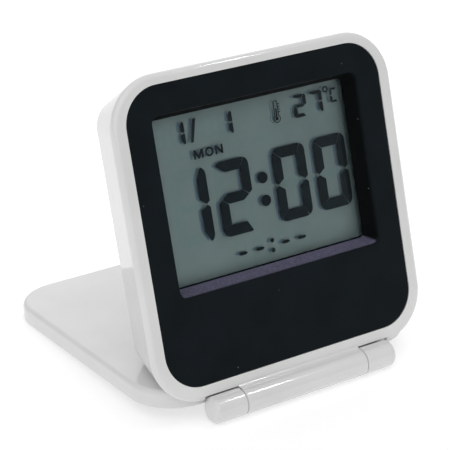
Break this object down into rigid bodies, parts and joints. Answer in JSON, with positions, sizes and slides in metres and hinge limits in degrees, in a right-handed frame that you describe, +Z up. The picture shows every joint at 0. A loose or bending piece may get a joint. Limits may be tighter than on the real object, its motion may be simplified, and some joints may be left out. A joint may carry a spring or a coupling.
{
  "type": "alarm clock",
  "caption": "Folding travel alarm clock with a liquid crystal display, standing on its own hinged flip cover.",
  "frame": {"origin": "middle of the footprint, on the surface that the open clock stands on", "axes": "+Z up, +X to the right of the display, the face looks towards -Y and the stand cover runs back along +Y"},
  "size_m": [0.075, 0.0802, 0.0768],
  "materials": {
    "white_abs": "glossy moulded ABS",
    "black_panel": "fine matte moulded ABS",
    "clear_lens": "clear acrylic",
    "lcd_glass": "thin clear glass",
    "lcd_film": "neutral polarising film",
    "lcd_segments": "dark liquid crystal segments",
    "reflector": "grey green transflective film",
    "steel": "zinc plated steel",
    "spring_steel": "nickel plated spring wire",
    "nickel_strip": "nickel plated strip",
    "board": "green solder mask on fibreglass",
    "resin": "black epoxy resin",
    "component": "surface mounted component",
    "resistor": "black film resistor",
    "switch_black": "black nylon",
    "zebra_rubber": "layered silicone",
    "cell": "plain printed sleeve",
    "buzzer_brass": "rolled brass",
    "buzzer_ceramic": "silvered ceramic"
  },
  "bodies": {
    "clock": {"front_bezel": "white_abs", "rear_case": "white_abs", "front_panel": "black_panel", "case_screws": "steel", "board_screws": "steel", "clock_crystal": "steel", "zebra_strip": "zebra_rubber", "main_board": "board", "controller_chip": "resin", "capacitors": "component", "resistors": "resistor", "thermistor": "resin", "switch_bases": "switch_black", "slide_switch_body": "steel", "battery": "cell", "positive_contact": "nickel_strip", "negative_contact": "nickel_strip", "battery_spring": "spring_steel", "buzzer_springs": "spring_steel", "buzzer_disc": "buzzer_brass", "buzzer_ceramic": "buzzer_ceramic", "window_lens": "clear_lens", "lcd_front_polarizer": "lcd_film", "lcd_front_glass": "lcd_glass", "lcd_segment_layer": "lcd_segments", "lcd_rear_glass": "lcd_glass", "lcd_reflector": "reflector"},
    "cover": {"stand_cover": "white_abs", "hinge_pins": "steel"},
    "battery_door": {"battery_door": "white_abs"},
    "alarm_switch": {"alarm_slider": "white_abs", "alarm_switch_lever": "switch_black"},
    "mode_key": {"mode_button": "white_abs", "mode_plunger": "switch_black"},
    "set_key": {"set_button": "white_abs", "set_plunger": "switch_black"},
    "up_key": {"up_button": "white_abs", "up_plunger": "switch_black"},
    "down_key": {"down_button": "white_abs", "down_plunger": "switch_black"}
  },
  "joints": [
    {"name": "cover_hinge", "type": "hinge", "parent": "clock", "child": "cover", "pos_m": [0, -0.0369, 0.0032], "axis": [-1, 0, 0], "range_deg": [0, 283]},
    {"name": "battery_door_slide", "type": "slide", "parent": "clock", "child": "battery_door", "axis": [1, 0, 0], "range_m": [0, 0.008]},
    {"name": "alarm_switch_slide", "type": "slide", "parent": "clock", "child": "alarm_switch", "axis": [1, 0, 0], "range_m": [0, 0.003]},
    {"name": "mode_button_press", "type": "slide", "parent": "clock", "child": "mode_key", "axis": [0, -0.9617, 0.2743], "range_m": [0, 0.0005], "stiffness_N_per_m": 1500},
    {"name": "set_button_press", "type": "slide", "parent": "clock", "child": "set_key", "axis": [0, -0.9617, 0.2743], "range_m": [0, 0.0005], "stiffness_N_per_m": 1500},
    {"name": "up_button_press", "type": "slide", "parent": "clock", "child": "up_key", "axis": [0, -0.9617, 0.2743], "range_m": [0, 0.0005], "stiffness_N_per_m": 1500},
    {"name": "down_button_press", "type": "slide", "parent": "clock", "child": "down_key", "axis": [0, -0.9617, 0.2743], "range_m": [0, 0.0005], "stiffness_N_per_m": 1500}
  ]
}
